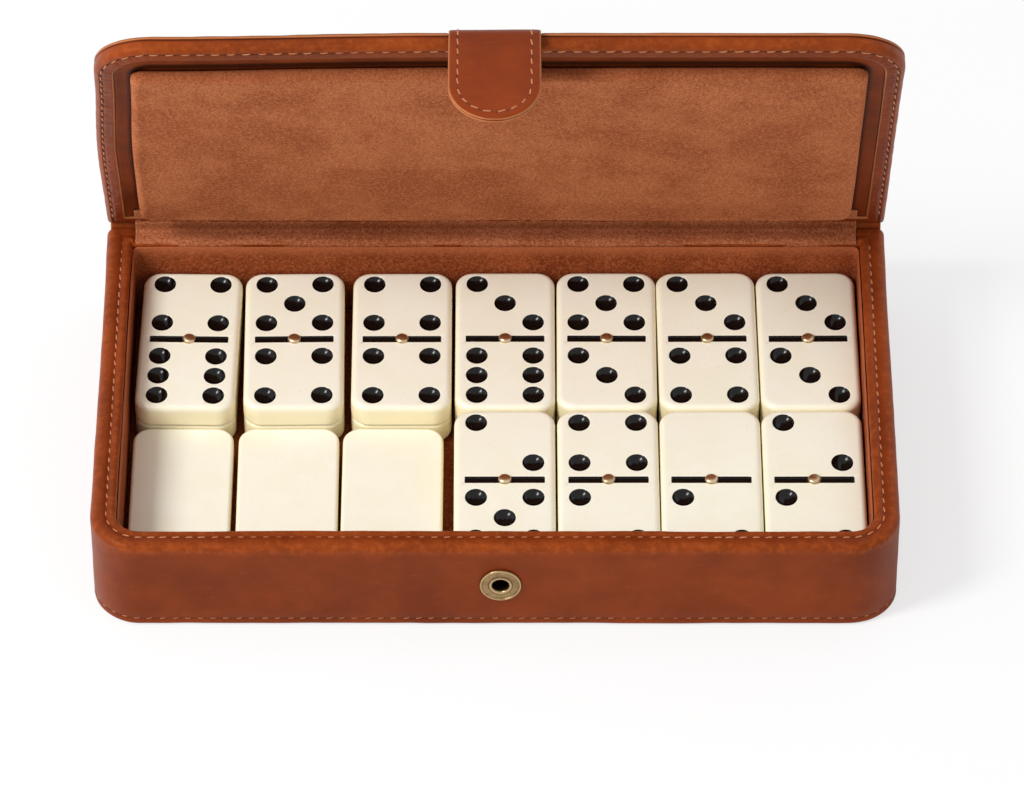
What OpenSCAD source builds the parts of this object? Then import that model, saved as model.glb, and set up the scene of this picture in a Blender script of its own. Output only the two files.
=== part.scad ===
// Domino storage box: a shallow leather-covered tray with a hinged, padded lid, a snap tab
// and two layers of domino tiles. Millimetres. X runs left to right, Y front to back, Z up.
// The origin is on the underside of the tray, in the middle of its plan.

/* [Tray] */
// Outside width of the tray
box_w = 195; // [194:0.5:205]
// Outside depth of the tray
box_d = 114; // [114:0.5:118]
// Height of the tray, to the top of the rim
box_h = 26.8; // [26.4:0.2:32]
// Thickness of a finished wall
wall_t = 6.2; // [6.2:0.1:6.5]
// Radius of the front corners in plan
front_r = 12; // [10:0.5:15]
// Radius of the back corners in plan
back_r = 2.2; // [2:0.1:2.6]
// Thickness of the covering leather
skin_t = 1.1; // [0.9:0.1:1.2]
// Rounding of the leather at the outer edge of the rim
rim_round = 1.3; // [1:0.1:1.5]
// How far the leather turns down inside the rim
turn_in = 5.8; // [4:0.1:7]
// Thickness of the floor board
floor_t = 2; // [1.6:0.1:2.4]
// Thickness of the suede lining
suede_t = 0.6; // [0.4:0.05:0.6]

/* [Lid] */
// Thickness of the lid without its pad
lid_t = 4.3; // [4.2:0.1:5.4]
// How far the lid stands open, counted from shut
lid_open = 64; // [0:1:110]
// Rounding of the lid's edge towards the inside
bead = 2.1; // [1.2:0.1:2.2]
// Width of the leather turned in round the inside of the lid
lid_turn = 4.6; // [4:0.2:6]
// How far the pad stands down from the inside of the lid
pad_t = 3; // [2.6:0.1:4]
// Width of the pad
pad_w = 177.5; // [170:0.5:178]
// Gap from the hinge line to the pad
pad_back = 9.6; // [9.4:0.1:12]
// Gap from the free edge of the lid to the pad
pad_front = 10.2; // [9:0.1:13]

/* [Tab] */
// Width of the snap tab
tab_w = 21.8; // [20:0.2:26]
// How far the tab stands off from where it snaps shut, in degrees
tab_lift = 21; // [10:1:50]
// Length of the strap on the outside of the lid
strap_l = 20; // [16:1:24]
// Depth of the snap below the rim
snap_drop = 12.8; // [12:0.2:14]
// How far the snap sits to the right of the middle
snap_x = 1.3; // [0:0.1:1.5]
// How far the middle of the tab's round end lies below the snap
tab_over = 1.7; // [0:0.1:2]
// Radius of the snap's disc
snap_r = 5; // [4.5:0.1:5.6]

/* [Stitching] */
// Spacing of the stitches
stitch_pitch = 3.9; // [3.4:0.1:4.6]
// Length of one stitch
stitch_l = 2.9; // [2.2:0.1:3.1]
// Thickness of the thread
thread = 0.7; // [0.5:0.05:0.9]

/* [Tiles] */
// Width of a tile
tile_w = 24.8; // [24:0.1:24.8]
// Length of a tile
tile_l = 49.4; // [48:0.1:49.4]
// Thickness of a tile
tile_t = 6.3; // [6:0.1:6.4]
// Radius of a tile's corners in plan
tile_r = 4.4; // [3.6:0.2:5.6]
// Rounding of the edges round a tile's face
tile_edge = 1.5; // [0.8:0.1:1.7]
// Rounding of the edges round a tile's back
tile_under = 0.9; // [0.6:0.1:1.5]
// Width of a pip at the face
pip_d = 5.3; // [4.4:0.1:5.6]
// Depth of a pip
pip_deep = 1.3; // [0.8:0.1:1.6]
// Width of the pin's brass head
pin_d = 3.3; // [3.2:0.1:4]
// Height of the pin's brass head
dome = 0.9; // [0.4:0.1:1]
// Width of the groove across the middle of a tile
bar_w = 2.2; // [1.6:0.1:2.4]

/* [Hidden] */
$fn = 72;
e = 0.05;

// Colours of the materials
tan_leather = [0.53, 0.26, 0.15];
dark_leather = [0.42, 0.2, 0.12];
suede = [0.61, 0.34, 0.23];
board = [0.72, 0.6, 0.45];
thread_c = [0.86, 0.62, 0.4];
ivory = [0.94, 0.92, 0.85];
brass = [0.6, 0.48, 0.3];

// Levels and faces inside the tray
inner_skin = wall_t - 1;          // outer face of the leather turned down inside the rim
liner_face = wall_t + suede_t;    // the face of the suede lining, from the outside of the box
floor_z = skin_t + e + floor_t;   // top of the floor board
suede_z = floor_z + e + suede_t;  // top of the suede on the floor
cap_z = box_h - skin_t;           // underside of the leather on the rim

// The hinge line: in the middle of the spine leather, level with the top of the rim
spine_t = 1;
hinge_y = box_d / 2 - 0.55;
hinge_z = box_h + 0.3;
spine_w = box_w - 1.4;
spine_foot = 13;
spine_lap = 9;
gusset_w = box_w - 2 * wall_t - 1.2;
lid_end = 0.55;                   // the lid starts this far from the hinge line
lid_d = box_d / 2 + hinge_y - lid_end;

// The bend of the tab round the free edge of the lid, in the lid's own frame
bend_y = -(lid_end + lid_d) + 0.5;
bend_r = 2.5;
tab_t = 0.85;
strap_z = lid_t - 0.2;            // the strap is let into the lid by this much and its thickness more
bend_z = strap_z - bend_r;
snap_z = box_h - snap_drop - hinge_z;   // the snap's height in the lid's frame when shut
tab_end_z = snap_z - tab_over;    // the middle of the tab's round end

// A plan with its own radii at the front and back corners, drawn in from the outside by inset
module plan(w, d, rf, rb) {
    union() {
        translate([-w / 2, -d / 2 + rf]) square([w, d - rf - rb]);
        translate([-w / 2 + rf, -d / 2]) square([w - 2 * rf, d / 2]);
        translate([-w / 2 + rb, 0]) square([w - 2 * rb, d / 2]);
        for (s = [-1, 1]) {
            translate([s * (w / 2 - rf), -d / 2 + rf]) circle(r = rf);
            if (rb > 0) translate([s * (w / 2 - rb), d / 2 - rb]) circle(r = rb);
        }
    }
}

// The tray's plan, drawn in from its outside face
module tray_plan(inset) {
    plan(box_w - 2 * inset, box_d - 2 * inset, front_r - inset, max(back_r - inset, 0.3));
}

module tray_slab(inset, z0, z1) {
    translate([0, 0, z0]) linear_extrude(z1 - z0) tray_plan(inset);
}

// One half of an edge section: a rectangle from the axis out to len, rounded at its far end
module edge_section(len, h, top, bottom) {
    difference() {
        square([len, h]);
        translate([len - top, h - top]) difference() {
            square([top + 1, top + 1]);
            circle(r = top);
        }
        if (bottom > 0) translate([len - bottom, bottom]) mirror([0, 1]) difference() {
            square([bottom + 1, bottom + 1]);
            circle(r = bottom);
        }
    }
}

module both_edges(len, h, top, bottom) {
    union() {
        edge_section(len / 2, h, top, bottom);
        mirror([1, 0]) edge_section(len / 2, h, top, bottom);
    }
}

// A slab with rounded corners in plan and rounded edges all round.
// With rb at 0 the back is cut off flat and has no rounding.
module soft_slab(w, d, h, rf, rb, top, bottom) {
    union() {
        // across, between the corners
        translate([0, d / 2 - rb, 0]) rotate([90, 0, 0])
            linear_extrude(d - rf - rb) both_edges(w, h, top, bottom);
        // front strip and corners
        translate([-w / 2 + rf, -d / 2 + rf, 0]) rotate([90, 0, 90])
            linear_extrude(w - 2 * rf) mirror([1, 0]) edge_section(rf, h, top, bottom);
        for (s = [-1, 1]) translate([s * (w / 2 - rf), -d / 2 + rf, 0])
            rotate_extrude() edge_section(rf, h, top, bottom);
        // back strip and corners
        if (rb > 0) {
            translate([-w / 2 + rb, d / 2 - rb, 0]) rotate([90, 0, 90])
                linear_extrude(w - 2 * rb) edge_section(rb, h, top, bottom);
            for (s = [-1, 1]) translate([s * (w / 2 - rb), d / 2 - rb, 0])
                rotate_extrude() edge_section(rb, h, top, bottom);
        }
    }
}

// What is cut away to round the inner edge of the rim: a square less the quarter circle left
module inner_round(r) {
    difference() {
        translate([-1, -r]) square([r + 1, r + 1]);
        translate([r, -r]) circle(r = r);
    }
}

module rim_inner_cut(r) {
    in_w = box_w - 2 * wall_t;
    in_d = box_d - 2 * wall_t;
    cr = front_r - wall_t;
    for (s = [0, 1]) mirror([s, 0, 0]) {
        translate([in_w / 2, in_d / 2, box_h]) rotate([90, 0, 0])
            linear_extrude(in_d - cr) inner_round(r);
        translate([in_w / 2 - cr, -in_d / 2 + cr, box_h]) rotate([0, 0, -90])
            rotate_extrude(angle = 90) translate([cr, 0]) intersection() {
                inner_round(r);
                translate([-cr, -5]) square([cr + 5, 10]);
            }
    }
    translate([-in_w / 2 + cr, -in_d / 2, box_h]) rotate([90, 0, 90])
        linear_extrude(in_w - 2 * cr) mirror([1, 0]) inner_round(r);
}

// Places its child in the lid's frame, which has its origin on the hinge line
module on_lid() {
    translate([0, hinge_y, hinge_z]) rotate([-lid_open, 0, 0]) children();
}

// Places its child on the tab, which turns about the bend
module on_tab() {
    on_lid() translate([0, bend_y, bend_z]) rotate([-tab_lift, 0, 0])
        translate([0, -bend_y, -bend_z]) children();
}

// A leather strip's section between two points, with round ends
module strip(p, q, t) {
    along = [q[0] - p[0], q[1] - p[1]];
    translate(p) rotate(atan2(along[1], along[0]))
        translate([0, -t / 2]) square([norm(along), t]);
    translate(p) circle(d = t, $fn = 24);
    translate(q) circle(d = t, $fn = 24);
}

// One stitch, lying along X on the surface at z = 0
module stitch() {
    rotate([0, 0, 6]) translate([-stitch_l / 2, -thread / 2, 0.02])
        cube([stitch_l, thread, 0.24]);
}

// Stitches along a straight line of this length, from the origin along X
module stitch_line(len) {
    n = max(1, floor(len / stitch_pitch));
    for (i = [0 : n - 1]) translate([(i + 0.5) * len / n, 0, 0]) stitch();
}

// Stitches round a quarter circle about the origin, from -Y to +X
module stitch_corner(r) {
    n = max(1, round(r * PI / 2 / stitch_pitch));
    for (i = [0 : n - 1]) rotate([0, 0, (i + 0.5) * 90 / n - 90]) translate([r, 0, 0])
        rotate([0, 0, 90]) stitch();
}

// Stitches along the two sides and the front of a plan, its two front corners included
module stitch_three_sides(w, d, r) {
    translate([-w / 2, d / 2, 0]) rotate([0, 0, -90]) stitch_line(d - r);
    translate([-w / 2 + r, -d / 2, 0]) stitch_line(w - 2 * r);
    translate([w / 2, -d / 2 + r, 0]) rotate([0, 0, 90]) stitch_line(d - r);
    translate([w / 2 - r, -d / 2 + r, 0]) stitch_corner(r);
    translate([-w / 2 + r, -d / 2 + r, 0]) rotate([0, 0, -90]) stitch_corner(r);
}

// ---- tray ----

// The leather over the walls: up the outside, over the rim, down inside it and under the foot
module wall_leather() {
    color(tan_leather) difference() {
        soft_slab(box_w, box_d, box_h, front_r, back_r, rim_round, 1);
        tray_slab(skin_t, skin_t, box_h - turn_in);
        difference() {
            tray_slab(skin_t, box_h - turn_in - 0.5, cap_z);
            tray_slab(inner_skin, box_h - turn_in, cap_z + 1);
        }
        tray_slab(wall_t, skin_t + 1, box_h + 1);
        tray_slab(wall_t - 0.3, -1, skin_t + 1);
        rim_inner_cut(0.9);
        // the back rim is open for the suede of the hinge
        translate([-gusset_w / 2 - 0.1, box_d / 2 - wall_t - 1, cap_z])
            cube([gusset_w + 0.2, wall_t + 2, 5]);
        translate([-gusset_w / 2 - 0.1, box_d / 2 - wall_t - 1, box_h - turn_in - 1])
            cube([gusset_w + 0.2, 2.05, turn_in + 5]);
        // the back face is recessed for the spine leather
        translate([-spine_w / 2 - 0.1, box_d / 2 - skin_t, spine_foot - 0.1])
            cube([spine_w + 0.2, 5, box_h]);
        // the hole for the snap
        translate([snap_x, -box_d / 2 - 1, box_h - snap_drop]) rotate([-90, 0, 0])
            cylinder(r = 3, h = 4);
    }
}

// The leather panel under the floor, let in between the turned-under edges
module bottom_leather() {
    color(dark_leather) tray_slab(wall_t - 0.2, 0, skin_t);
}

// The boards of the carcass: a ring in section, cut into its four walls
module board_ring() {
    difference() {
        tray_slab(skin_t + e, skin_t + e, cap_z - e);
        tray_slab(inner_skin - e, 0, box_h);
    }
}

board_cut_y = -box_d / 2 + front_r + 2;
board_back_y = box_d / 2 - inner_skin;

module board_front() {
    color(board) difference() {
        intersection() {
            board_ring();
            translate([-box_w, board_cut_y - 100, -5]) cube([2 * box_w, 100, 60]);
        }
        translate([snap_x, -box_d / 2 - 1, box_h - snap_drop]) rotate([-90, 0, 0])
            cylinder(r = 3.05, h = 20);
        translate([snap_x, -box_d / 2 + inner_skin - 1, box_h - snap_drop]) rotate([-90, 0, 0])
            cylinder(r = 4.6, h = 3);
    }
}

module board_back() {
    color(board) intersection() {
        board_ring();
        translate([-box_w, board_back_y + e, -5]) cube([2 * box_w, 100, 60]);
    }
}

module board_side(s) {
    color(board) intersection() {
        board_ring();
        translate([s > 0 ? 5 : -5 - box_w, board_cut_y + e, -5])
            cube([box_w, board_back_y - board_cut_y - e, 60]);
    }
}

module board_left() {
    board_side(-1);
}

module board_right() {
    board_side(1);
}

module floor_board() {
    color(board) tray_slab(inner_skin, skin_t + e, floor_z);
}

// The suede on its card, standing inside the walls in four lengths that meet at the back
// corners and in the middle of the front ones. Its upper edge passes inside the leather turned
// down from the rim and stops below the rim.
module suede_liner() {
    low = box_h - turn_in - e;
    color(suede) difference() {
        union() {
            tray_slab(inner_skin, floor_z + e, low);
            tray_slab(wall_t + e, low - 0.5, box_h - 1.6);
        }
        tray_slab(liner_face, 0, box_h);
        translate([-box_w / 2, box_d / 2 - liner_face - e, 0]) cube([box_w, e, box_h]);
        for (s = [-1, 1]) translate([s * (box_w / 2 - front_r), -box_d / 2 + front_r, 0])
            rotate([0, 0, s > 0 ? -45 : -135]) translate([0, -e / 2, 0])
                cube([front_r, e, box_h]);
    }
}

module suede_floor() {
    color(suede) tray_slab(liner_face + e, floor_z + e, suede_z);
}

// Thread along the middle of the rim, from one hinge end round the front to the other
module rim_stitching() {
    m = 3.3;
    color(thread_c) translate([0, -0.6, box_h])
        stitch_three_sides(box_w - 2 * m, box_d - 2 * m - 1.2, front_r - m);
}

// Thread round the foot of the walls
module foot_stitching() {
    z = 2.2;
    color(thread_c) {
        translate([-box_w / 2 + front_r, -box_d / 2, z]) rotate([90, 0, 0])
            stitch_line(box_w - 2 * front_r);
        translate([box_w / 2 - back_r, box_d / 2, z]) rotate([90, 0, 180])
            stitch_line(box_w - 2 * back_r);
        for (s = [0, 1]) mirror([s, 0, 0]) {
            translate([box_w / 2, -box_d / 2 + front_r, z]) rotate([90, 0, 90])
                stitch_line(box_d - front_r - back_r);
            translate([box_w / 2 - front_r, -box_d / 2 + front_r, z])
                for (i = [0 : 4]) rotate([0, 0, i * 18 - 81]) translate([front_r, 0, 0])
                    rotate([90, 0, 90]) stitch();
        }
    }
}

// The socket of the snap: a disc with a rolled lip and a barrel through the wall
module snap_socket() {
    color(brass) translate([snap_x, -box_d / 2, box_h - snap_drop]) rotate([90, 0, 0])
        rotate_extrude() difference() {
            union() {
                translate([2, e]) square([snap_r - 2.35, 0.55]);
                translate([snap_r - 0.35, e + 0.28]) circle(r = 0.28, $fn = 24);
                translate([2.42, 0.3]) circle(r = 0.42, $fn = 32);
                translate([2, -4.4]) square([0.84, 4.7]);
            }
            translate([-1, -6]) square([3, 8]);
        }
}

// The cap that closes the socket's barrel behind the wall
module snap_socket_cap() {
    color(brass) translate([snap_x, -box_d / 2 + inner_skin - 0.95, box_h - snap_drop])
        rotate([-90, 0, 0]) difference() {
            cylinder(r = 4.4, h = 0.7);
            translate([0, 0, -1]) cylinder(r = 2.95, h = 1.15);
        }
}

// ---- hinge ----

// A point of the lid's frame, seen from the tray
function lid_point(p) = [
    hinge_y + p[0] * cos(lid_open) + p[1] * sin(lid_open),
    hinge_z - p[0] * sin(lid_open) + p[1] * cos(lid_open)
];

// Suede from inside the back wall, over the rim, through the fold and onto the lid
module hinge_gusset() {
    t = 0.8;
    back_in = box_d / 2 - wall_t;
    rim_y = hinge_y - 1.4;
    rim_z = cap_z + e + t / 2;
    pts = [
        [back_in + e + t / 2, box_h - turn_in + t / 2 + e],
        [back_in + e + t / 2, rim_z],
        [rim_y, rim_z],
        lid_point([-2.6, 0.05 + t / 2]),
        lid_point([-spine_lap, 0.05 + t / 2])
    ];
    color(suede) translate([-gusset_w / 2, 0, 0]) rotate([90, 0, 90])
        linear_extrude(gusset_w) union() {
            for (i = [0 : len(pts) - 2]) strip(pts[i], pts[i + 1], t);
        }
}

// Leather up the back of the tray, through the fold and over the hinge end of the lid
module hinge_spine() {
    top = lid_t - spine_t / 2;
    pts = [
        [hinge_y, spine_foot + spine_t / 2],
        [hinge_y, hinge_z],
        lid_point([0, top]),
        lid_point([-spine_lap + spine_t / 2, top])
    ];
    color(tan_leather) translate([-spine_w / 2, 0, 0]) rotate([90, 0, 90])
        linear_extrude(spine_w) union() {
            for (i = [0 : len(pts) - 2]) strip(pts[i], pts[i + 1], spine_t);
        }
}

// ---- lid ----

// The lid's plan in its own frame, drawn in from its edges; the hinge end stays where it is
module lid_plan(inset, back) {
    d = lid_d - inset - (back - lid_end);
    translate([0, -back - d / 2]) plan(box_w - 2 * inset, d, front_r - inset, 0);
}

// The leather over the lid, turned in round the three free edges
module lid_leather() {
    color(tan_leather) on_lid() difference() {
        translate([0, -lid_end - lid_d / 2, 0])
            soft_slab(box_w, lid_d, lid_t, front_r, 0, 0.9, bead);
        translate([0, 0, 1]) linear_extrude(lid_t - skin_t - 1) lid_plan(skin_t, -5);
        translate([0, 0, -1]) linear_extrude(2.5) lid_plan(lid_turn, -5);
        translate([-spine_w / 2 - 0.1, -spine_lap - 0.1, lid_t - skin_t - 0.5])
            cube([spine_w + 0.2, 20, 5]);
        // the bed of the strap
        translate([-tab_w / 2 - 0.1, bend_y - 20, strap_z - e])
            cube([tab_w + 0.2, strap_l + 20.1, 5]);
    }
}

module lid_board() {
    color(board) on_lid() translate([0, 0, 1 + e])
        linear_extrude(lid_t - skin_t - 1 - 2 * e) lid_plan(skin_t + e, lid_end);
}

// The smooth leather inside the lid, with a notch at the hinge for the suede
module lid_lining() {
    color(dark_leather) on_lid() difference() {
        translate([0, 0, 0.25]) linear_extrude(0.75) lid_plan(lid_turn + e, lid_end);
        translate([-gusset_w / 2 - 0.1, -spine_lap - 0.5, -1])
            cube([gusset_w + 0.2, 20, 5]);
    }
}

pad_d = lid_end + lid_d - pad_back - pad_front;

module pad_board() {
    color(board) on_lid() translate([0, -pad_back - pad_d / 2, -1.25])
        linear_extrude(1.4) plan(pad_w - 3, pad_d - 3, 1.5, 1.5);
}

// The suede pad, wrapped over its board
module suede_pad() {
    color(suede) on_lid() translate([0, -pad_back - pad_d / 2, 0]) difference() {
        translate([0, 0, -pad_t]) mirror([0, 0, 1]) translate([0, 0, -pad_t - 0.2])
            soft_slab(pad_w, pad_d, pad_t + 0.2, 2.5, 2.5, 1.4, 0.3);
        translate([0, 0, -1.25 - e]) linear_extrude(5) plan(pad_w - 2.9, pad_d - 2.9, 1.55, 1.55);
    }
}

// Thread along the turned-in leather inside the lid
module lid_stitching() {
    m = 2.2;
    d = lid_d - m - 1;
    color(thread_c) on_lid() mirror([0, 0, 1]) translate([0, -lid_end - 1 - d / 2, 0])
        stitch_three_sides(box_w - 2 * m, d, front_r - m);
}

// Thread along the outside of the lid, and round the strap of the tab
module lid_top_stitching() {
    m = 2.4;
    d = lid_d - m - spine_lap - 1;
    s_w = tab_w - 4.4;
    color(thread_c) on_lid() {
        difference() {
            translate([0, -lid_end - spine_lap - 1 - d / 2, lid_t])
                stitch_three_sides(box_w - 2 * m, d, front_r - m);
            translate([-tab_w / 2 - 1, bend_y - 10, 0]) cube([tab_w + 2, strap_l + 10, 20]);
        }
        translate([0, bend_y, strap_z + tab_t]) {
            for (s = [-1, 1]) translate([s * s_w / 2, 0, 0]) rotate([0, 0, 90])
                stitch_line(strap_l - 2.4);
            translate([-s_w / 2, strap_l - 2.2, 0]) stitch_line(s_w);
        }
    }
}

// The strap of the tab, on the outside of the lid
module tab_strap() {
    color(tan_leather) on_lid() translate([-tab_w / 2, bend_y, strap_z])
        cube([tab_w, strap_l, tab_t]);
}

// The leather of the tab where it bends round the free edge of the lid
module tab_bend() {
    color(tan_leather) on_lid() translate([-tab_w / 2, bend_y, bend_z])
        rotate([90, 0, 90]) rotate([0, 0, 90]) rotate_extrude(angle = 90 - tab_lift)
            translate([bend_r, 0]) square([tab_t, tab_w]);
}

// ---- tab ----

// The outline of the tab, seen from outside with the lid shut: a strip with a round end
module tab_outline(inset) {
    r = tab_w / 2 - inset;
    union() {
        translate([-r, tab_end_z]) square([2 * r, bend_z - tab_end_z]);
        translate([0, tab_end_z]) circle(r = r);
    }
}

// Draws its child's outline, in X and Z, as a sheet from one distance before the lid to another
module tab_sheet(near, far) {
    translate([0, bend_y - near, 0]) rotate([90, 0, 0]) linear_extrude(far - near) children();
}

module tab_leather() {
    color(tan_leather) on_tab() tab_sheet(bend_r, bend_r + tab_t) tab_outline(0);
}

module tab_lining() {
    color(dark_leather) on_tab() difference() {
        tab_sheet(bend_r - 0.75, bend_r - e) tab_outline(0.1);
        translate([snap_x, bend_y - bend_r + 0.35, snap_z]) rotate([90, 0, 0])
            cylinder(r = 4, h = 3);
        translate([snap_x, bend_y + 5, snap_z]) rotate([90, 0, 0])
            cylinder(r = 1.5, h = 20);
    }
}

// Thread round the tab, on its outer face
module tab_stitching() {
    r = tab_w / 2 - 2.2;
    run = bend_z - tab_end_z - 0.6;
    n = round(PI * r / 3.2);
    color(thread_c) on_tab() translate([0, bend_y - bend_r - tab_t, tab_end_z])
        rotate([90, 0, 0]) {
            for (s = [-1, 1]) translate([s * r, 0, 0]) rotate([0, 0, 90]) stitch_line(run);
            for (i = [0 : n - 1]) rotate([0, 0, -(i + 0.5) * 180 / n]) translate([r, 0, 0])
                rotate([0, 0, 90]) stitch();
        }
}

// The stud of the snap, under the tab: a flange, a neck and a round head
module snap_stud() {
    color(brass) on_tab() translate([snap_x, bend_y - bend_r + 0.75 + e, snap_z])
        rotate([-90, 0, 0]) union() {
            cylinder(r = 3.6, h = 0.4);
            translate([0, 0, 0.3]) cylinder(r = 1.3, h = 1.5);
            translate([0, 0, 1.85]) sphere(r = 1.65);
            translate([0, 0, -0.45]) cylinder(r = 1.3, h = 0.8);
        }
}

// The disc that holds the stud, closed in between the two leathers
module snap_stud_disc() {
    color(brass) on_tab() translate([snap_x, bend_y - bend_r + e + e, snap_z])
        rotate([-90, 0, 0]) cylinder(r = 3.8, h = 0.2);
}

// ---- tiles ----

// Where the pips of each number sit, in steps from the middle of its half
pips = [
    [],
    [[0, 0]],
    [[-1, 1], [1, -1]],
    [[-1, 1], [0, 0], [1, -1]],
    [[-1, 1], [1, 1], [-1, -1], [1, -1]],
    [[-1, 1], [1, 1], [0, 0], [-1, -1], [1, -1]],
    [[-1, 1], [1, 1], [-1, 0], [1, 0], [-1, -1], [1, -1]]
];
pip_half = 13;
pip_row = 7;
pip_col = 7;
pip_ball = (pip_d * pip_d / 4 + pip_deep * pip_deep) / (2 * pip_deep);
pin_ball = (pin_d * pin_d / 4 + dome * dome) / (2 * dome);
bar_x = 0.35 * tile_w;            // from the pin to the middle of the groove's round end

// A tile with its face up, its underside at z = 0 and number a at the back
module domino(a, b) {
    color(ivory) difference() {
        soft_slab(tile_w, tile_l, tile_t, tile_r, tile_r, tile_edge, tile_under);
        for (half = [[a, 1], [b, -1]]) for (p = pips[half[0]])
            translate([p[0] * pip_col, half[1] * pip_half + p[1] * pip_row,
                tile_t - pip_deep + pip_ball]) sphere(r = pip_ball);
        // the groove across the middle, with round ends
        translate([-bar_x, -bar_w / 2, tile_t - 0.6]) cube([2 * bar_x, bar_w, 2]);
        for (s = [-1, 1]) translate([s * bar_x, 0, tile_t - 0.6])
            cylinder(r = bar_w / 2, h = 2);
        translate([0, 0, tile_t - 3]) cylinder(r = 0.9, h = 5);
    }
    // the brass pin
    color(brass) translate([0, 0, tile_t]) union() {
        intersection() {
            translate([0, 0, dome - pin_ball]) sphere(r = pin_ball);
            translate([0, 0, 0.02]) cylinder(r = pin_d, h = 2);
        }
        translate([0, 0, -2.8]) cylinder(r = 0.87, h = 2.9);
    }
}

// Gaps between neighbouring tiles, left to right, and from the last one to the lining
back_gap = [1.4, 2, 0.9, 0.45, 0.3, 0.3, 0.5];
front_gap = [1.35, 0.8, 2.75, 0.5, 0.3, 0.3, 0.5];
// How far each back tile lies to the back of its place, below and above, and how it is turned
lower_shift = [0.1, 0.1, 0.2, 0.1, 0.1, 0.1, 0.1];
upper_shift = [-0.1, -0.1, -0.05, 0.1, 0.1, 0.1, 0.1];
back_turn = [-1, 0.7, 0.1, 0, -0.15, 0.4, 0.35];
front_turn = [-0.15, 0.2, -0.1, 0.1, 0.15, 0, 0.1];
function gaps_right(gap, i) = i > 6 ? 0 : gap[i] + gaps_right(gap, i + 1);
function tile_x(gap, i) = box_w / 2 - liner_face - tile_w / 2 - (6 - i) * tile_w
    - gaps_right(gap, i);
lower_z = suede_z + dome + 0.1;
upper_z = lower_z + tile_t + 0.05;

// Row is 1 at the back and -1 at the front; col counts from 1 at the left
module place_tile(col, row, z, shift) {
    translate([tile_x(row > 0 ? back_gap : front_gap, col - 1),
        row > 0 ? tile_l / 2 + 0.35 + shift : -tile_l / 2 - 0.05, z])
        rotate([0, 0, row > 0 ? back_turn[col - 1] : front_turn[col - 1]]) children();
}

module upper_tile(col, row, a, b) {
    place_tile(col, row, upper_z, upper_shift[col - 1]) domino(a, b);
}

// The lower layer lies face down
module lower_tile(col, row, a, b) {
    place_tile(col, row, lower_z + tile_t, lower_shift[col - 1])
        rotate([0, 180, 0]) domino(a, b);
}

module tile_back_1_upper() upper_tile(1, 1, 4, 6);
module tile_back_2_upper() upper_tile(2, 1, 5, 4);
module tile_back_3_upper() upper_tile(3, 1, 4, 4);
module tile_back_4_upper() upper_tile(4, 1, 3, 6);
module tile_back_5_upper() upper_tile(5, 1, 5, 3);
module tile_back_6_upper() upper_tile(6, 1, 3, 4);
module tile_back_7_upper() upper_tile(7, 1, 3, 3);
module tile_front_4_upper() upper_tile(4, -1, 2, 5);
module tile_front_5_upper() upper_tile(5, -1, 4, 2);
module tile_front_6_upper() upper_tile(6, -1, 0, 2);
module tile_front_7_upper() upper_tile(7, -1, 2, 2);
module tile_back_1_lower() lower_tile(1, 1, 0, 0);
module tile_back_2_lower() lower_tile(2, 1, 0, 1);
module tile_back_3_lower() lower_tile(3, 1, 0, 3);
module tile_back_4_lower() lower_tile(4, 1, 0, 4);
module tile_back_5_lower() lower_tile(5, 1, 0, 5);
module tile_back_6_lower() lower_tile(6, 1, 0, 6);
module tile_back_7_lower() lower_tile(7, 1, 1, 1);
module tile_front_1_lower() lower_tile(1, -1, 1, 2);
module tile_front_2_lower() lower_tile(2, -1, 1, 3);
module tile_front_3_lower() lower_tile(3, -1, 1, 4);
module tile_front_4_lower() lower_tile(4, -1, 1, 5);
module tile_front_5_lower() lower_tile(5, -1, 1, 6);
module tile_front_6_lower() lower_tile(6, -1, 2, 3);
module tile_front_7_lower() lower_tile(7, -1, 2, 6);

wall_leather();
bottom_leather();
board_front();
board_back();
board_left();
board_right();
floor_board();
suede_liner();
suede_floor();
rim_stitching();
foot_stitching();
snap_socket();
snap_socket_cap();
hinge_gusset();
hinge_spine();
lid_leather();
lid_board();
lid_lining();
pad_board();
suede_pad();
lid_stitching();
lid_top_stitching();
tab_strap();
tab_bend();
tab_leather();
tab_lining();
tab_stitching();
snap_stud();
snap_stud_disc();
tile_back_1_upper();
tile_back_2_upper();
tile_back_3_upper();
tile_back_4_upper();
tile_back_5_upper();
tile_back_6_upper();
tile_back_7_upper();
tile_front_4_upper();
tile_front_5_upper();
tile_front_6_upper();
tile_front_7_upper();
tile_back_1_lower();
tile_back_2_lower();
tile_back_3_lower();
tile_back_4_lower();
tile_back_5_lower();
tile_back_6_lower();
tile_back_7_lower();
tile_front_1_lower();
tile_front_2_lower();
tile_front_3_lower();
tile_front_4_lower();
tile_front_5_lower();
tile_front_6_lower();
tile_front_7_lower();
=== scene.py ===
import math
import random

import bmesh
import bpy
import numpy as np
from mathutils import Matrix, Vector, noise
from mathutils.geometry import delaunay_2d_cdt


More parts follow.
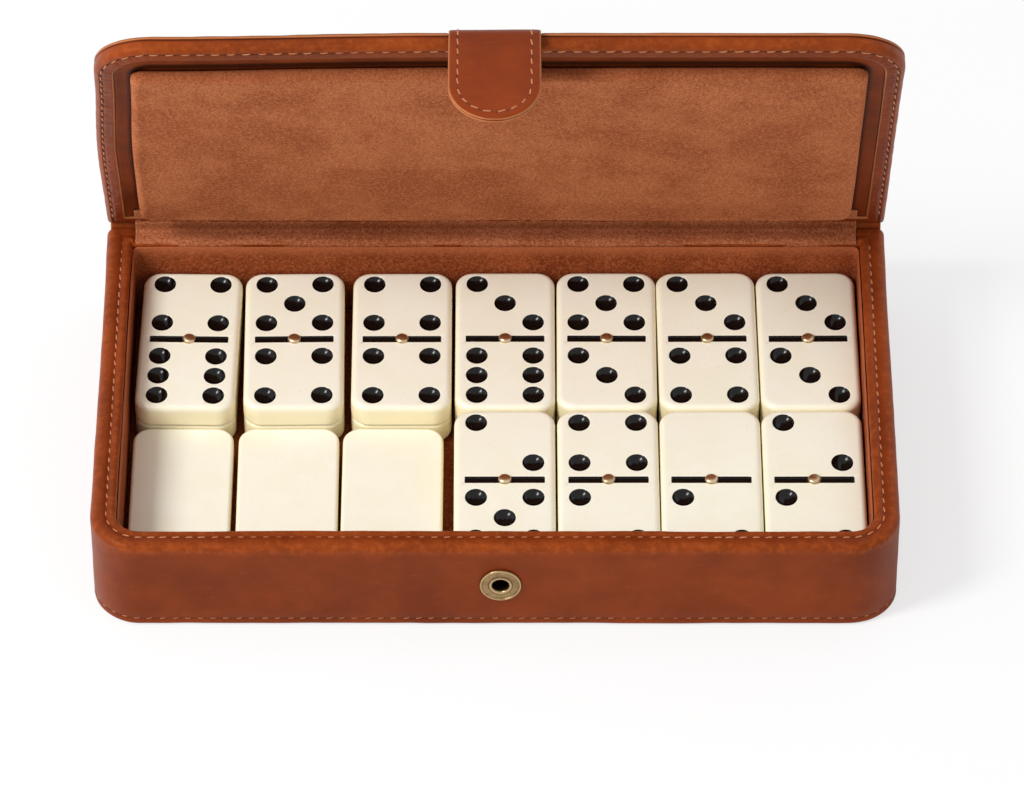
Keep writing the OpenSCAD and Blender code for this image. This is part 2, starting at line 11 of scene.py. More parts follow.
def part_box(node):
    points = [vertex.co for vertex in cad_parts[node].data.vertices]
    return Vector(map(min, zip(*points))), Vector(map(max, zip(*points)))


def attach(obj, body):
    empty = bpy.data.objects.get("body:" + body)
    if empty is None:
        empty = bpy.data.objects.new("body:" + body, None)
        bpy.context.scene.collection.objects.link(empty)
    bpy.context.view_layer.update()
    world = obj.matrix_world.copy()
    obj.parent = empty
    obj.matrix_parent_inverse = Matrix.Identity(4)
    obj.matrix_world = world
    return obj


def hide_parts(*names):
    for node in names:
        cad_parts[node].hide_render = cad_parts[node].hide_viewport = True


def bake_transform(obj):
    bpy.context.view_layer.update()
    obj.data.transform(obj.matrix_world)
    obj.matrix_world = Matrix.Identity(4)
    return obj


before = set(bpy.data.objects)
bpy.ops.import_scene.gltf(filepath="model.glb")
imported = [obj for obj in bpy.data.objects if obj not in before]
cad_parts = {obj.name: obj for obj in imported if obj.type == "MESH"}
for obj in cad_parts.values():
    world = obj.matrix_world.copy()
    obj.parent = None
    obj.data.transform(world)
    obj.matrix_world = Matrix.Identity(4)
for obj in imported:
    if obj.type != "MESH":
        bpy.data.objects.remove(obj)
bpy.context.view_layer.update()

# ---------------------------------------------------------------------------------------
# Boards. The carcass is four wall boards on a floor board, and a thinner board stiffens
# the lid and another the pad. All are plain grey-brown millboard, hidden once covered.


class Wire:
    """An output of a material's nodes. Arithmetic on it adds Math nodes, so 1 - mask works."""

    def __init__(self, finish, socket):
        self.finish, self.socket = finish, socket

    def maths(self, operation, *values):
        return self.finish.node("ShaderNodeMath", {"operation": operation}, dict(enumerate(values)))

    def __add__(self, other):
        return self.maths("ADD", self, other)

    def __sub__(self, other):
        return self.maths("SUBTRACT", self, other)

    def __rsub__(self, other):
        return self.maths("SUBTRACT", other, self)

    def __mul__(self, other):
        return self.maths("MULTIPLY", self, other)

    __radd__, __rmul__ = __add__, __mul__

    def spread(self, low, high, to_low=0.0, to_high=1.0):
        """Maps low..high onto to_low..to_high, smoothly, and holds it there outside."""
        return self.finish.node("ShaderNodeMapRange", {"interpolation_type": "SMOOTHSTEP"},
                                {0: self, 1: low, 2: high, 3: to_low, 4: to_high})


class Finish:
    """A material, or the light all round, made with one method that adds any node."""

    def __init__(self, name, owner=None):
        self.owner = owner or bpy.data.materials.new(name)
        self.owner.use_nodes = True
        self.tree = self.owner.node_tree
        self.tree.nodes.clear()

    def node(self, kind, settings=None, values=None, out=0):
        made = self.tree.nodes.new(kind)
        for name, value in (settings or {}).items():
            if name == "stops":
                while len(made.color_ramp.elements) < len(value):
                    made.color_ramp.elements.new(0.5)
                for element, (position, colour) in zip(made.color_ramp.elements, value):
                    element.position, element.color = position, colour
            else:
                setattr(made, name, value)
        for key, value in (values or {}).items():
            if isinstance(value, Wire):
                self.tree.links.new(value.socket, made.inputs[key])
            else:
                made.inputs[key].default_value = value
        return Wire(self, made.outputs[out]) if made.outputs else None

    def place(self):
        """Where a point of the piece is, in metres in the piece's own frame."""
        return self.node("ShaderNodeTexCoord", out=3)

    def mottle(self, scale, detail=3.0, roughness=0.55, stretch=(1, 1, 1)):
        """Cloudy noise from 0 to 1. Scale is in cycles per metre."""
        at = self.node("ShaderNodeMapping", {}, {0: self.place(), 3: stretch})
        return self.node("ShaderNodeTexNoise", {},
                         {"Vector": at, "Scale": scale, "Detail": detail, "Roughness": roughness})

    def blend(self, amount, first, second):
        """Colour: first where amount is 0, second where it is 1."""
        return self.node("ShaderNodeMix", {"data_type": "RGBA"},
                         {0: amount, 6: first, 7: second}, out=2)

    def painted(self, name):
        """A value painted on the mesh's points; 0 on a mesh that has none."""
        return self.node("ShaderNodeAttribute", {"attribute_name": name}, out=2)

    def bump(self, height, strength, distance, under=None):
        values = {"Height": height, "Strength": strength, "Distance": distance}
        if under is not None:
            values["Normal"] = under
        return self.node("ShaderNodeBump", {}, values)

    def surface(self, values):
        """Ends the material in a Principled shader with these sockets."""
        shader = self.node("ShaderNodeBsdfPrincipled", {}, values)
        self.node("ShaderNodeOutputMaterial", {}, {0: shader})
        return self.owner


def srgb(red, green, blue):
    """A colour read off a swatch card, 0 to 255, as the linear colour that nodes take."""
    def linear(c):
        c /= 255
        return c / 12.92 if c <= 0.04045 else ((c + 0.055) / 1.055) ** 2.4
    return (linear(red), linear(green), linear(blue), 1)


def millboard():
    board = Finish("millboard")
    fibre = board.mottle(900, 6, 0.7, (1, 4, 1))
    cloud = board.mottle(60, 3)
    colour = board.blend(fibre, srgb(150, 128, 100), srgb(196, 174, 142))
    colour = board.blend(cloud * 0.4, colour, srgb(128, 104, 80))
    return board.surface({"Base Color": colour, "Roughness": fibre * 0.2 + 0.75,
                          "Normal": board.bump(fibre, 0.4, 0.0003)})


def recoat(finish, *nodes):
    """Gives solids that show as they are this finish."""
    for node in nodes:
        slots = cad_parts[node].data.materials
        slots.clear()
        slots.append(finish)


board_finish = millboard()
recoat(board_finish, "board_front", "board_back", "board_left", "board_right", "floor_board")

# ---------------------------------------------------------------------------------------
# Wall leather. One strip of tan pull-up hide goes up the outside of the walls, over the rim
# and down inside it, and is turned under at the foot. A seam sinks a groove in the rim.

MM = 0.001
tray_low, tray_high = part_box("wall_leather")
TRAY_W = (tray_high.x - tray_low.x) / MM
TRAY_D = (tray_high.y - tray_low.y) / MM
TRAY_H = tray_high.z / MM
FRONT_R, BACK_R, WALL, HIDE, ROLL = 12.0, 2.2, 6.2, 1.0, 1.75
RIM_SEAM, FOOT_SEAM = 3.8, 2.2
SNAP_X, SNAP_Z, SNAP_CUT = 1.3, TRAY_H - 12.8, 2.3
SPINE_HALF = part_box("hinge_spine")[1].x / MM + 0.1
GUSSET_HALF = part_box("hinge_gusset")[1].x / MM + 0.1
SPINE_FOOT = 13.5


class Plan:
    """A box's plan, sampled round its edge: front and back corners have their own radii."""

    def __init__(self, width, depth, front, back, step, middle=(0, 0)):
        self.width, self.depth, self.middle = width, depth, np.array(middle, float)
        self.corners = [(1, -1, front), (1, 1, back), (-1, 1, back), (-1, -1, front)]
        self.spots = []
        for i, (_, _, radius) in enumerate(self.corners):
            start = math.radians(-90 + 90 * i)
            turns = max(6, round(radius * math.pi / 2 / step))
            self.spots += [(i, start + math.pi / 2 * k / turns, 0.0) for k in range(turns)]
            run = width - front - back if i % 2 else depth - front - back
            steps = max(4, round(run / step))
            self.spots += [(i, start + math.pi / 2, k / steps) for k in range(steps)]
        self.index = np.array([s[0] for s in self.spots])
        self.share = np.array([s[2] for s in self.spots])[:, None]
        self.out = np.array([(math.cos(s[1]), math.sin(s[1])) for s in self.spots])

    def ring(self, inset, least=0.3):
        """The plan drawn in by inset; no corner gets sharper than least."""
        ends = []
        for shift in (0, 1):
            i = (self.index + shift) % 4
            sign = np.array([c[:2] for c in self.corners], float)[i]
            radius = np.maximum(np.array([c[2] for c in self.corners])[i] - inset, least)[:, None]
            half = np.array([self.width / 2, self.depth / 2]) - inset - radius
            ends.append(sign * np.maximum(half, 0) + radius * self.out)
        return ends[0] * (1 - self.share) + ends[1] * self.share + self.middle


def dress(thing, finishes, body, replaced, smooth=True):
    """Links a new piece, gives it its finishes, and hands it to its body when that is one name; a
    piece given more than a name keeps its transform baked in place.
    """
    if thing.name not in bpy.context.scene.collection.objects:
        bpy.context.scene.collection.objects.link(thing)
    for finish in finishes:
        thing.data.materials.append(finish)
    for face in thing.data.polygons:
        face.use_smooth = smooth
    if isinstance(body, str):
        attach(thing, body)
    else:
        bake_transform(thing)
    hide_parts(*replaced)


def mesh_of(name, points, faces, paint=None):
    """An object of that name from points in mm; paint is {attribute: value per point}."""
    mesh = bpy.data.meshes.new(name)
    mesh.from_pydata((np.array(points, float) * MM).tolist(), [], faces)
    for key, values in (paint or {}).items():
        mesh.attributes.new(key, "FLOAT", "POINT").data.foreach_set(
            "value", np.asarray(values, np.float32))
    mesh.update()
    return bpy.data.objects.new(name, mesh)


def weave(rows, count, first=0, closed=False):
    """Faces between rows of count points, and over both end rows unless it is closed."""
    faces = []
    for j in range(rows if closed else rows - 1):
        here, there = first + j * count, first + (j + 1) % rows * count
        for i in range(count):
            n = (i + 1) % count
            faces.append((here + i, here + n, there + n, there + i))
    if not closed:
        faces += [tuple(range(first, first + count))[::-1], tuple(range(there, there + count))]
    return faces


def loft(name, plan, section, closed=True, tune=None):
    """Carries a section of (inset, height, raw, worn, least)
    round a plan.

    The third paints raw edges pale, and along the suede lining's top also a painted highlight;
    the fourth paints wear together with painted highlights on rounded edges and painted shade in
    grooves and creases; least is the sharpest that a corner gets at that inset. Points
    may leave out what ends them. A section that isn't closed is shut over its two end rings.
    """
    section = [(*point, *(0, 0, 0, 0, 0.3)[len(point):]) for point in section]
    points = np.array([np.insert(plan.ring(inset, least), 2, height, axis=1)
                       for inset, height, _, _, least in section])
    if tune:
        tune(points)
    count = len(plan.spots)
    raw, worn = (np.repeat([point[at] for point in section], count) for at in (2, 3))
    return mesh_of(name, points.reshape(-1, 3), weave(len(section), count, closed=closed),
                   {"raw": raw, "worn": worn})


def arc(middle, radius, start, end, steps, worn=0):
    """Section points on an arc, in degrees."""
    turn = [math.radians(start + (end - start) * k / steps) for k in range(steps + 1)]
    return [(middle[0] + radius * math.cos(a), middle[1] + radius * math.sin(a), 0, worn)
            for a in turn]


def line(start, end, steps):
    """Section points on a straight run, its ends left out."""
    return [(start[0] + (end[0] - start[0]) * k / steps, start[1] + (end[1] - start[1]) * k / steps)
            for k in range(1, steps)]


def crumple(thing, amount, scale, seed, stretch=(1, 1, 1)):
    """Moves points along their normals by soft noise: amount in mm, scale in cycles per mm."""
    mesh = thing.data
    offset = Vector((seed * 17.3, seed * 5.1, seed * 9.7))
    stretch = Vector(stretch) * scale / MM
    normals = [v.normal.copy() for v in mesh.vertices]
    for v, normal in zip(mesh.vertices, normals):
        v.co += normal * amount * MM * noise.noise(v.co * stretch + offset)
    mesh.update()


def tan_hide(name="tan_hide", deep=srgb(108, 42, 14), light=srgb(134, 56, 20), shine=0.0):
    """Waxed tan pull-up leather: cloudy brown, pale at a raw edge; lighter on rounded edges and
    bends, partly wear and partly a painted highlight, and darker in seam grooves and creases, which
    is painted shade.
    """
    hide = Finish(name)
    cloud = hide.mottle(38, 4, 0.6)
    streak = hide.mottle(55, 4, 0.6, (0.35, 1.6, 1.6))
    grain = hide.mottle(1500, 4, 0.6)
    scuff = hide.mottle(240, 5, 0.75, (0.5, 1.3, 1.3)).spread(0.56, 0.76)
    worn, raw = hide.painted("worn"), hide.painted("raw")
    colour = hide.blend(cloud.spread(0.32, 0.68), deep, light)
    colour = hide.blend(streak.spread(0.4, 0.75) * 0.35, colour, srgb(104, 40, 17))
    colour = hide.blend(scuff * 0.12, colour, srgb(184, 106, 62))
    fleck = hide.mottle(520, 4, 0.7).spread(0.42, 0.66)
    # Above 0: rounded edges and bends are lightened, partly wear and partly a painted highlight.
    colour = hide.blend(worn.spread(0, 1) * (fleck * 0.75 + 0.25), colour, srgb(186, 90, 40))
    # Below 0: seam grooves and creases are darkened, which is painted shade.
    colour = hide.blend(worn.spread(0, -1), colour, srgb(78, 29, 10))
    colour = hide.blend(raw.spread(0, 1) * (grain * 0.6 + 0.5), colour, srgb(190, 124, 80))
    gloss = cloud * 0.16 + scuff * 0.1 + (0.36 - shine)
    rise = grain * 0.5 + hide.mottle(320, 3)
    return hide.surface({"Base Color": colour, "Roughness": gloss,
                         "Specular IOR Level": 0.36 + shine, "Specular Tint": srgb(255, 160, 100),
                         "Normal": hide.bump(rise, 0.4 - shine, 0.00022)})


hide_finish = tan_hide()
tray_plan = Plan(TRAY_W, TRAY_D, FRONT_R, BACK_R, 0.8)
# The fourth values paint the rim's rounded edges lighter, partly wear and partly a painted
# highlight; the negative ones in the rim seam's and the foot seam's grooves are painted shade.
rim_section = (
    [(WALL, TRAY_H - 5.8), (WALL, TRAY_H - 3.5), (WALL + 0.05, TRAY_H - 2.2)]
    + arc((WALL - 1.25, TRAY_H - 1.3), 1.3, 0, 80, 7, 0.5)
    + [(WALL - 1.9, TRAY_H - 0.12, 0, 0.3), (RIM_SEAM + 0.35, TRAY_H - 0.2),
       (RIM_SEAM, TRAY_H - 0.38, 0, -0.5), (RIM_SEAM - 0.35, TRAY_H - 0.2),
       (RIM_SEAM - 0.9, TRAY_H - 0.04, 0, 0.2)]
    + arc((ROLL, TRAY_H - ROLL), ROLL, 95, 180, 9, 0.42)
    + line((0, TRAY_H - ROLL), (0, SNAP_Z + SNAP_CUT), 4)
    + [(0, SNAP_Z + SNAP_CUT), (0, SNAP_Z), (0, SNAP_Z - SNAP_CUT)]
    + line((0, SNAP_Z - SNAP_CUT), (0, 3.2), 4)
    + [(0.02, 3.0), (0.12, FOOT_SEAM + 0.25, 0, -0.3), (0.18, FOOT_SEAM, 0, -0.5),
       (0.1, FOOT_SEAM - 0.25, 0, -0.2)]
    + arc((1.0, 1.0), 1.0, 180, 270, 5, 0.2)
    + line((1, 0), (WALL - 0.35, 0), 4)
    + [(WALL - 0.35, 0), (WALL - 0.35, 0.9)] + line((WALL - 0.35, 0.9), (HIDE, 0.9), 3)
    + [(HIDE, 0.9), (HIDE, SNAP_Z - SNAP_CUT), (HIDE, SNAP_Z), (HIDE, SNAP_Z + SNAP_CUT),
       (HIDE, TRAY_H - 1.3), (HIDE + 0.6, TRAY_H - HIDE),
       (WALL - 1, TRAY_H - HIDE), (WALL - 0.95, TRAY_H - 5.8)]
)


def press_and_cut(points):
    """Presses the rim down where the lid lies, and beds the suede and the spine at the back."""
    x, y, z = np.moveaxis(points, -1, 0)
    z -= 0.25 * np.clip((z - TRAY_H + 3) / 3, 0, 1)
    back = TRAY_D / 2
    bed = TRAY_H - 1.15
    z[(np.abs(x) < GUSSET_HALF) & (y > back - WALL - 0.1) & (z > bed)] = bed
    y[(np.abs(x) < SPINE_HALF) & (y > back - 1.1) & (z > SPINE_FOOT - 0.6)] = back - 1.1


wall_leather = loft("wall_leather_skin", tray_plan, rim_section, tune=press_and_cut)
crumple(wall_leather, 0.22, 0.035, 1)
crumple(wall_leather, 0.07, 0.16, 2)
bm = bmesh.new()
bm.from_mesh(wall_leather.data)
punched = []
for face in bm.faces:
    at = face.calc_center_median() / MM
    if max(abs(at.x - SNAP_X), abs(at.z - SNAP_Z)) < SNAP_CUT and at.y < 1.5 - TRAY_D / 2:
        punched.append(face)
bmesh.ops.delete(bm, geom=punched, context="FACES")
bmesh.ops.bridge_loops(bm, edges=[edge for edge in bm.edges if edge.is_boundary])
bm.to_mesh(wall_leather.data)
bm.free()
dress(wall_leather, [hide_finish], "tray", ["wall_leather"])

# ---------------------------------------------------------------------------------------
# Bottom leather. A plain panel of the same hide let in under the floor.

recoat(hide_finish, "bottom_leather")

# ---------------------------------------------------------------------------------------
# Suede lining. Brown suede on card stands inside the walls and lies on the floor; its
# corners are eased, and its cut upper edge and a band about 2 mm deep under it are painted
# paler: partly the cut edge, partly a painted highlight.


def brushed_suede(name, deep, light, rubbed_and_lit, shade):
    """Brushed suede: a fine speckled nap in cloudy patches, paler where it is rubbed; darker where
    painted shade is marked, and paler along a cut edge, partly the edge and partly a painted
    highlight.
    """
    suede = Finish(name)
    nap = suede.mottle(2100, 2, 0.5)
    tuft = suede.mottle(1200, 3, 0.6)
    brushed = suede.mottle(60, 3, 0.6)
    colour = suede.blend(brushed.spread(0.34, 0.66), deep, light)
    colour = suede.blend(tuft.spread(0.42, 0.64, 0.0, 0.55), colour, rubbed_and_lit)
    colour = suede.blend(nap.spread(0.56, 0.36, 0.0, 0.6), colour, shade)
    # Painted shade: darkened where worn is below 0.
    colour = suede.blend(suede.painted("worn").spread(0, -1) * 0.6, colour, shade)
    # Pale at a cut edge; along the lining's top this is also a painted highlight.
    colour = suede.blend(suede.painted("raw").spread(0, 1) * 0.7, colour, rubbed_and_lit)
    under = suede.bump(tuft, 0.5, 0.0005)
    return suede.surface({"Base Color": colour, "Roughness": 0.95, "Specular IOR Level": 0.05,
                          "Sheen Weight": 0.12, "Sheen Roughness": 0.5,
                          "Sheen Tint": srgb(226, 150, 110),
                          "Normal": suede.bump(nap, 0.6, 0.0003, under)})


lining_finish = brushed_suede("lining_suede", srgb(134, 62, 28), srgb(160, 80, 42),
                              srgb(184, 104, 66), srgb(104, 44, 18))
liner_low, liner_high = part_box("suede_liner")
LINER_TOP, LINER_FOOT = liner_high.z / MM, liner_low.z / MM
LINER_FACE = WALL + 0.6
LINER_RISE = LINER_TOP - 0.4 - LINER_FOOT
# The top rows are painted paler: the cut edge, and under it a band that is a painted highlight.
lining_section = (
    [(LINER_FACE, LINER_FOOT + LINER_RISE * k / 12, max(0, k - 10) * 0.45, 0, 1.5)
     for k in range(13)]
    + [(LINER_FACE - back, LINER_TOP - down, raw, 0, 1.5)
       for back, down, raw in ((0.1, 0.1, 1), (0.25, 0, 1), (0.42, 0.1, 0.5), (0.45, 0.6, 0),
                               (0.45, LINER_TOP - LINER_FOOT, 0))]
)
liner = loft("suede_wall_lining", Plan(TRAY_W, TRAY_D, FRONT_R, BACK_R, 1.2), lining_section)
crumple(liner, 0.12, 0.08, 3)
dress(liner, [lining_finish], "tray", ["suede_liner"])
recoat(lining_finish, "suede_floor")

# ---------------------------------------------------------------------------------------
# Tray stitching. Waxed thread in a running seam round the rim, each stitch pulled down
# into its holes at both ends, and a finer seam round the foot.


def waxed_thread():
    thread = Finish("waxed_thread")
    ply = thread.mottle(1300, 2)
    colour = thread.blend(ply, srgb(162, 86, 47), srgb(214, 144, 93))
    return thread.surface({"Base Color": colour, "Roughness": 0.55,
                           "Normal": thread.bump(ply, 0.5, 0.0002)})


# Dark brown for the discs over the needle holes: painted shade.
def painted_hole_shade():
    hole_shade = Finish("painted_hole_shade")
    shade = hole_shade.mottle(700, 2)
    return hole_shade.surface({"Base Color": hole_shade.blend(shade, srgb(46, 18, 8), srgb(84, 38, 20)),
                         "Roughness": 0.8})


thread_finishes = [waxed_thread(), painted_hole_shade()]


def lengths(path):
    """How far along a path each of its points is."""
    return np.concatenate([[0], np.cumsum(np.linalg.norm(np.diff(path, axis=0), axis=1))])


def sew(name, runs, pitch, length, thick, seed, lift, hole_shade):
    """Stitches along runs of (points, outward normals) in mm, each a bent bar of thread."""
    dice = random.Random(seed)
    points, faces, kinds = [], [], []
    steps, sides, spokes = 8, 7, 8
    for path, normals in runs:
        along = lengths(path)
        count = max(1, round(along[-1] / pitch))

        def at(s):
            p, n = (np.array([np.interp(s, along, part[:, k]) for k in range(3)])
                    for part in (path, normals))
            return p, n / np.linalg.norm(n)

        for i in range(count):
            middle = (i + 0.5) * along[-1] / count + dice.uniform(-0.05, 0.05) * pitch
            reach = length * dice.uniform(0.94, 1.06) / 2
            slant = dice.uniform(0.02, 0.1) * length
            first = len(points)
            for k in range(steps + 1):
                u = k / steps * 2 - 1
                p, n = at(middle + u * reach)
                t = at(middle + u * reach + 0.05)[0] - p
                if np.linalg.norm(t) < 1e-9:
                    t = p - at(middle + u * reach - 0.05)[0]
                side = np.cross(n, t / np.linalg.norm(t))
                bend = lift - (lift + thick * 0.75) * abs(u) ** 3.2
                fat = thick / 2 * (1 - 0.35 * abs(u) ** 4)
                for a in range(sides):
                    turn = 2 * math.pi * a / sides
                    points.append(p + n * (bend + math.sin(turn) * fat * 0.8)
                                  + side * (slant * u + math.cos(turn) * fat))
            faces += weave(steps + 1, sides, first)
            kinds += [0] * (steps * sides + 2)
            # A flat dark disc on the leather at each end of the stitch: painted shade for the
            # needle hole.
            for u in (-1, 1):
                p, n = at(middle + u * (reach + 0.05))
                t = at(middle + u * (reach - 0.05))[0] - p
                t /= np.linalg.norm(t) or 1
                side = np.cross(n, t)
                centre = p + n * 0.03 + side * slant * u
                first = len(points)
                points.append(centre + n * 0.03)
                for a in range(spokes):
                    turn = 2 * math.pi * a / spokes
                    points.append(centre + t * math.cos(turn) * hole_shade
                                  + side * math.sin(turn) * hole_shade * 0.8)
                    faces.append((first, first + 1 + a, first + 1 + (a + 1) % spokes))
                    kinds.append(1)
    thing = mesh_of(name, points, faces)
    thing.data.polygons.foreach_set("material_index", kinds)
    bm = bmesh.new()
    bm.from_mesh(thing.data)
    bmesh.ops.recalc_face_normals(bm, faces=bm.faces)
    bm.to_mesh(thing.data)
    bm.free()
    return thing


def round_three_sides(plan, inset, height, lean=(0, 0, 1), back_end=0.0):
    """The run of a seam along both sides and the front of a plan, at one height."""
    ring = plan.ring(inset)
    start = next(i for i, s in enumerate(plan.spots) if s[0] == 2 and s[2] > back_end)
    stop = len(plan.spots) + next(i for i, s in enumerate(plan.spots)
                                  if s[0] == 0 and s[2] > 1 - back_end - 0.02)
    order = [i % len(plan.spots) for i in range(start, stop)]
    path = np.column_stack([ring[order], np.full(len(order), float(height))])
    return path, np.tile(lean, (len(order), 1))


rim_seam = sew("rim_seam", [round_three_sides(tray_plan, RIM_SEAM, TRAY_H - 0.64)],
               3.1, 2.3, 0.44, 11, lift=0.05, hole_shade=0.22)
dress(rim_seam, thread_finishes, "tray", ["rim_stitching"])

foot_path = np.insert(tray_plan.ring(0.1), 2, FOOT_SEAM, axis=1)
foot_out = np.insert(tray_plan.out, 2, 0, axis=1)
foot_seam = sew("foot_seam", [[np.vstack([run, run[:1]]) for run in (foot_path, foot_out)]],
                3.1, 1.6, 0.2, 12, lift=0.01, hole_shade=0.16)
dress(foot_seam, thread_finishes, "tray", ["foot_stitching"])

# ---------------------------------------------------------------------------------------
# Snap socket. A pressed brass ring with a rolled edge is set through the front wall, and
# its barrel is closed behind by a cap. A circle of small dots is struck into its face.


def antique_brass(name, pale, deep):
    """Brass dipped brown and rubbed back, so that high edges are bright and hollows dark."""
    metal = Finish(name)
    patina = metal.mottle(420, 5, 0.7)
    dark = metal.painted("worn")
    colour = metal.blend(patina.spread(0.35, 0.7), pale, deep)
    colour = metal.blend(dark.spread(0, -1), colour, srgb(44, 30, 18))
    colour = metal.blend(dark.spread(0, 1), colour, srgb(198, 172, 128))
    return metal.surface({"Base Color": colour, "Metallic": 1.0 - dark.spread(0, -1) * 0.3,
                          "Roughness": patina * 0.2 + 0.24,
                          "Normal": metal.bump(patina, 0.2, 0.0002)})


def lathe(name, profile, matrix):
    """Turns a profile of (radius, height, worn) in mm round Z; the ends are closed on the axis."""
    sides = 64
    turns = [2 * math.pi * k / sides for k in range(sides)]
    points = [matrix @ Vector((r * math.cos(a), r * math.sin(a), z))
              for r, z, _ in profile for a in turns]
    return mesh_of(name, points, weave(len(profile), sides),
                   {"worn": np.repeat([w for _, _, w in profile], sides)})


brass_finish = antique_brass("antique_brass", srgb(164, 138, 98), srgb(122, 98, 66))
face_forward = (Matrix.Translation((SNAP_X, -TRAY_D / 2, SNAP_Z))
                @ Matrix.Rotation(math.pi / 2, 4, "X"))
ring_profile = (
    [(1.95, -4.3, -1), (1.98, -1.5, -1), (2.0, 0.1, -0.9), (2.1, 0.5, 0), (2.35, 0.75, 0.9),
     (2.62, 0.72, 0.6), (2.82, 0.5, -0.6), (3.0, 0.42, -0.5)]
    + [(3.0 + 1.5 * k / 6, 0.44 + 0.1 * math.sin(math.pi * k / 6), 0.1) for k in range(1, 6)]
    + [(4.5, 0.42, -0.4)]
    + [(4.72 + 0.34 * math.cos(math.radians(a)), 0.36 + 0.34 * math.sin(math.radians(a)),
        0.9 if 50 < a < 110 else 0.1) for a in range(130, -91, -20)]
    + [(4.4, 0.02, -0.5), (2.9, 0.02, -1), (2.85, -4.3, -1)]
)
socket = lathe("snap_ring", ring_profile, face_forward)
bm = bmesh.new()
bm.from_mesh(socket.data)
DOTS, DOTS_R, DOT_R = 26, 3.76, 0.17
for k in range(DOTS):
    turn = 2 * math.pi * k / DOTS
    spot = face_forward @ Vector((DOTS_R * math.cos(turn), DOTS_R * math.sin(turn), 0.5)) * MM
    bmesh.ops.create_icosphere(bm, subdivisions=2, radius=DOT_R * MM,
                               matrix=Matrix.Translation(spot))
bm.to_mesh(socket.data)
bm.free()
dress(socket, [brass_finish], "tray", ["snap_socket"])
recoat(brass_finish, "snap_socket_cap")

# ---------------------------------------------------------------------------------------
# Hinge. One strip of hide up the back and over the lid's end, and a strip of suede over
# the rim inside; both are glued to the tray and to the lid and bend in between.

HINGE_Y, HINGE_Z = 56.45, 27.1
OPEN, LID_T = math.radians(64), 4.3
lid_frame = (Matrix.Translation((0, HINGE_Y * MM, HINGE_Z * MM))
             @ Matrix.Rotation(-OPEN, 4, "X"))


def on_lid(y, z):
    """A point of the lid's own frame, in mm, as (y, z) in the tray's."""
    return (HINGE_Y + y * math.cos(OPEN) + z * math.sin(OPEN),
            HINGE_Z - y * math.sin(OPEN) + z * math.cos(OPEN))


def eased(corners, radii, step):
    """A path through the corners with each inner corner rounded, at even steps."""
    corners = np.array(corners, float)
    pts = [corners[0]]
    for a, b, c, radius in zip(corners, corners[1:], corners[2:], radii):
        before, after = np.linalg.norm(a - b), np.linalg.norm(c - b)
        u, v = (a - b) / before, (c - b) / after
        half = math.acos(np.clip(u @ v, -1, 1)) / 2
        reach = min(radius / math.tan(half), before * 0.49, after * 0.49)
        start, end = b + u * reach, b + v * reach
        pts += [start * (1 - t) ** 2 + b * 2 * t * (1 - t) + end * t ** 2
                for t in np.linspace(0, 1, 9)]
    pts = np.array([*pts, corners[-1]])
    along = lengths(pts)
    at = np.linspace(0, along[-1], max(2, round(along[-1] / step)) + 1)
    return np.column_stack([np.interp(at, along, pts[:, k]) for k in (0, 1)])


def strip(name, path, half, thick, step, paint):
    """A strip of skin along a path of (y, z), from -half to half in X, with soft edges."""
    way = np.gradient(path, axis=0)
    way /= np.linalg.norm(way, axis=1)[:, None]
    side = np.column_stack([-way[:, 1], way[:, 0]])
    count = max(2, round(2 * half / step))
    xs = [-half, -half + 0.15 * thick,
          *np.linspace(-half + 0.5 * thick, half - 0.5 * thick, count), half - 0.15 * thick, half]
    rows = len(path)
    points, raw = [], []
    for j, x in enumerate(xs):
        edge = min(j, len(xs) - 1 - j, 2)
        for face, order in ((1, range(rows)), (-1, range(rows)[::-1])):
            for i in order:
                end = i in (0, rows - 1)
                fat = thick / 2 * (0.55, 0.85, 1.0)[edge] * (0.6 if end else 1)
                points.append((x, *(path[i] + side[i] * fat * face)))
                raw.append((1.0, 0.5, 0.8 * end)[edge])
    points = np.array(points)
    return mesh_of(name, points, weave(len(xs), 2 * rows), {"raw": raw, "worn": paint(points)})


spine_path = eased([(HINGE_Y, SPINE_FOOT), (HINGE_Y, HINGE_Z), on_lid(0, LID_T - HIDE / 2),
                    on_lid(-8.5, LID_T - HIDE / 2)], [2.2, 1.1], 0.55)
# Along the top of its bend the strip is painted lighter, as on the rim's rounded edges: partly
# wear, partly a painted highlight.
spine = strip("hinge_spine_strip", spine_path, 96.8, HIDE, 0.9,
              lambda p: 0.8 * np.exp(-((p[:, 2] - 28.6) / 1.6) ** 2))
crumple(spine, 0.2, 0.06, 5)
crumple(spine, 0.08, 0.2, 6)
dress(spine, [hide_finish], ("tray", "lid", (0, 0.05645, 0.0266), (0, 0.0569, 0.0275)),
      ["hinge_spine"])

GUSSET_Y, GUSSET_Z, GUSSET_T = 51.15, 26.15, 0.8
gusset_path = eased([(GUSSET_Y, 21.75), (GUSSET_Y, GUSSET_Z), (55.05, GUSSET_Z),
                     on_lid(-2.6, 0.45), on_lid(-9.0, 0.45)], [1.0, 0.9, 1.1], 0.4)
hinge_suede = brushed_suede("hinge_suede", srgb(164, 90, 54), srgb(188, 112, 74),
                            srgb(208, 138, 98), srgb(120, 58, 30))
# A band across the fold, under the pad's edge, is painted darker: painted shadow in the crease.
gusset = strip("hinge_gusset_strip", gusset_path, 90.5, GUSSET_T, 0.8,
               lambda p: -0.75 * np.exp(-((p[:, 2] - 28.0) / 0.9) ** 2))
crumple(gusset, 0.16, 0.12, 7, (0.5, 1, 1))
dress(gusset, [hinge_suede], ("tray", "lid", (0, 0.0559, 0.0264), (0, 0.05651, 0.02858)),
      ["hinge_gusset"])

# ---------------------------------------------------------------------------------------
# Lid leather. A binding of hide is turned in round three edges of the lid and stitched,
# puckering as it turns; the outer face is one panel laid on with its raw edge showing.

